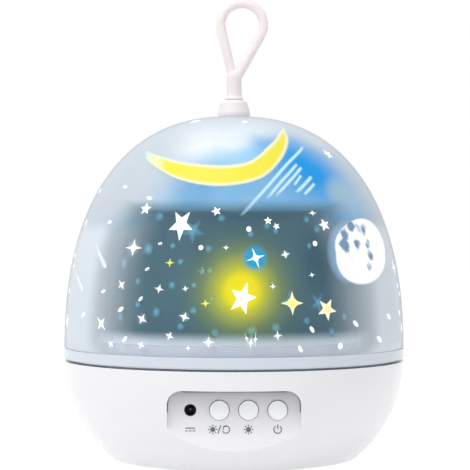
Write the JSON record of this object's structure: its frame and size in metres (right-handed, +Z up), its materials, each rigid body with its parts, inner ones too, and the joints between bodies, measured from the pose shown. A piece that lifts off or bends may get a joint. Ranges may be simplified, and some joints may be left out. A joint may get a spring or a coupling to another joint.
{
  "type": "star night light projector",
  "caption": "Egg-shaped night light with a clear dome over a turning star film, a lit lens, a control panel with push buttons, a plug socket, a battery bay and a hanging loop.",
  "frame": {"origin": "on the table under the middle of the base", "axes": "+Z up through the dome and the loop, -Y out of the control panel, +X to the right of someone who faces the panel"},
  "size_m": [0.12, 0.12, 0.1629],
  "materials": {
    "shell_white": "gloss",
    "button_white": "satin",
    "inner_white": "matt",
    "rim_pale_blue": "gloss, slightly see-through",
    "dome_clear": "clear with a faint frost",
    "film_night": "printed film, night blue",
    "film_sky": "printed film, light blue",
    "lens_clear": "clear",
    "led_warm": "clear resin",
    "board_white": "solder mask",
    "board_green": "solder mask",
    "switch_black": "matt",
    "gear_nylon": "matt",
    "silicone_pale": "matt, slightly see-through",
    "rubber_grey": "matt",
    "cell_sleeve": "printed sleeve",
    "motor_can": "brushed",
    "screw_steel": "bright",
    "spring_steel": "bright",
    "washer_brass": "bright"
  },
  "bodies": {
    "base": {"base_shell": "shell_white", "rubber_feet": "rubber_grey", "battery_cells": "cell_sleeve", "battery_springs": "spring_steel", "battery_plates": "spring_steel", "top_deck": "inner_white", "deck_screws": "screw_steel", "rotation_motor": "motor_can", "motor_screws": "screw_steel", "thrust_washer": "washer_brass", "retaining_clip": "spring_steel", "lamp_post": "inner_white", "led_board": "board_white", "leds": "led_warm", "lamp_lens": "lens_clear", "control_board": "board_green", "board_screws": "screw_steel", "tact_switches": "switch_black", "dc_jack": "switch_black", "dc_jack_pin": "washer_brass"},
    "battery_door": {"battery_door": "shell_white", "battery_door_screws": "screw_steel"},
    "drive_shaft": {"motor_shaft": "screw_steel", "drive_pinion": "gear_nylon"},
    "turntable": {"turntable": "rim_pale_blue", "turntable_hub": "gear_nylon", "drive_gear": "gear_nylon", "film_base_ring": "inner_white", "film_band": "film_night", "film_top_ring": "inner_white", "film_cap": "film_sky"},
    "dome": {"dome_cover": "dome_clear", "loop_boss": "silicone_pale", "boss_nut": "inner_white"},
    "loop": {"hanging_loop": "silicone_pale"},
    "mode_button": {"button_mode": "button_white", "switch_plunger_mode": "inner_white"},
    "brightness_button": {"button_brightness": "button_white", "switch_plunger_brightness": "inner_white"},
    "power_button": {"button_power": "button_white", "switch_plunger_power": "inner_white"}
  },
  "joints": [
    {"name": "turntable_spin", "type": "hinge", "parent": "base", "child": "turntable", "pos_m": [0, 0, 0.0367], "axis": [0, 0, 1], "continuous": true},
    {"name": "drive_spin", "type": "hinge", "parent": "base", "child": "drive_shaft", "pos_m": [0.03, 0, 0.033], "axis": [0, 0, 1], "continuous": true},
    {"name": "dome_lift", "type": "slide", "parent": "turntable", "child": "dome", "axis": [0, 0, 1], "range_m": [0, 0.09]},
    {"name": "loop_swivel", "type": "hinge", "parent": "dome", "child": "loop", "pos_m": [0, 0, 0.1225], "axis": [0, 0, 1], "continuous": true},
    {"name": "mode_press", "type": "slide", "parent": "base", "child": "mode_button", "axis": [0, 1, 0], "range_m": [0, 0.0007], "stiffness_N_per_m": 1200, "springref_m": -0.0005},
    {"name": "brightness_press", "type": "slide", "parent": "base", "child": "brightness_button", "axis": [0, 1, 0], "range_m": [0, 0.0007], "stiffness_N_per_m": 1200, "springref_m": -0.0005},
    {"name": "power_press", "type": "slide", "parent": "base", "child": "power_button", "axis": [0, 1, 0], "range_m": [0, 0.0007], "stiffness_N_per_m": 1200, "springref_m": -0.0005},
    {"name": "battery_door_off", "type": "slide", "parent": "base", "child": "battery_door", "axis": [0, 0, -1], "range_m": [0, 0.02]}
  ],
  "couplings": [
    {"joint": "drive_spin", "follows": "turntable_spin", "ratio": -4}
  ]
}
